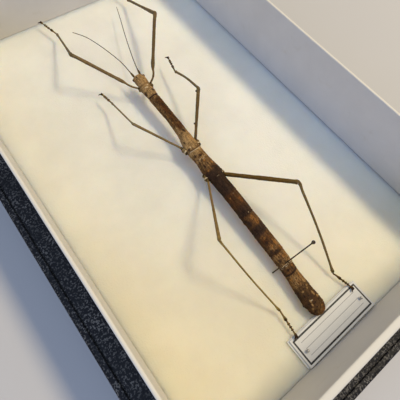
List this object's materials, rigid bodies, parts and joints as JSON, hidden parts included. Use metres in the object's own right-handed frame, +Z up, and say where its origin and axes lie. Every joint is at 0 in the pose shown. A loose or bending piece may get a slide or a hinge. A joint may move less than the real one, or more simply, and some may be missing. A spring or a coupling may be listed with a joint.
{
  "type": "giant stick insect specimen in an open case",
  "caption": "Dried giant stick insect, life size, on one long pin over a bare bordered label in an open, foam-floored specimen case.",
  "frame": {"origin": "middle of the case's underside", "axes": "+Z up, +Y from the label end to the head end of the insect, +X to the insect's right-hand side"},
  "size_m": [0.2036, 0.3096, 0.0605],
  "materials": {
    "leatherette": "pebbled, satin",
    "white_board": "smooth paper facing",
    "foam": "fine closed-cell foam",
    "label_card": "matt card",
    "label_pin_steel": "bright",
    "black_pin": "black enamel",
    "eye": "glossy",
    "antenna": "dry horn",
    "leg_shell": "dry horn",
    "tan_shell": "dry horn",
    "dark_shell": "dry horn",
    "brown_shell": "dry horn"
  },
  "bodies": {
    "root": {"abdomen_1": "dark_shell", "abdomen_2": "dark_shell", "abdomen_3": "brown_shell", "abdomen_4": "brown_shell", "abdomen_5": "brown_shell", "abdomen_6": "brown_shell", "abdomen_7": "brown_shell", "abdomen_8": "brown_shell", "antenna_left": "antenna", "antenna_right": "antenna", "case_base": "leatherette", "case_foam": "foam", "case_liner_head": "white_board", "case_liner_label": "white_board", "case_liner_left": "white_board", "case_liner_right": "white_board", "case_shell_head": "leatherette", "case_shell_label": "leatherette", "case_shell_left": "leatherette", "case_shell_right": "leatherette", "coxa_front_left": "leg_shell", "coxa_front_right": "leg_shell", "coxa_hind_left": "leg_shell", "coxa_hind_right": "leg_shell", "coxa_middle_left": "leg_shell", "coxa_middle_right": "leg_shell", "eye_left": "eye", "eye_right": "eye", "femur_front_left": "leg_shell", "femur_front_right": "leg_shell", "femur_hind_left": "leg_shell", "femur_hind_right": "leg_shell", "femur_middle_left": "leg_shell", "femur_middle_right": "leg_shell", "head": "tan_shell", "label_back_card": "label_card", "label_card": "label_card", "label_pin_left": "label_pin_steel", "label_pin_right": "label_pin_steel", "mesothorax": "brown_shell", "metathorax": "brown_shell", "prothorax": "tan_shell", "specimen_pin": "black_pin", "tarsus_front_left": "leg_shell", "tarsus_front_right": "leg_shell", "tarsus_hind_left": "leg_shell", "tarsus_hind_right": "leg_shell", "tarsus_middle_left": "leg_shell", "tarsus_middle_right": "leg_shell", "tibia_front_left": "leg_shell", "tibia_front_right": "leg_shell", "tibia_hind_left": "leg_shell", "tibia_hind_right": "leg_shell", "tibia_middle_left": "leg_shell", "tibia_middle_right": "leg_shell"}
  },
  "joints": []
}
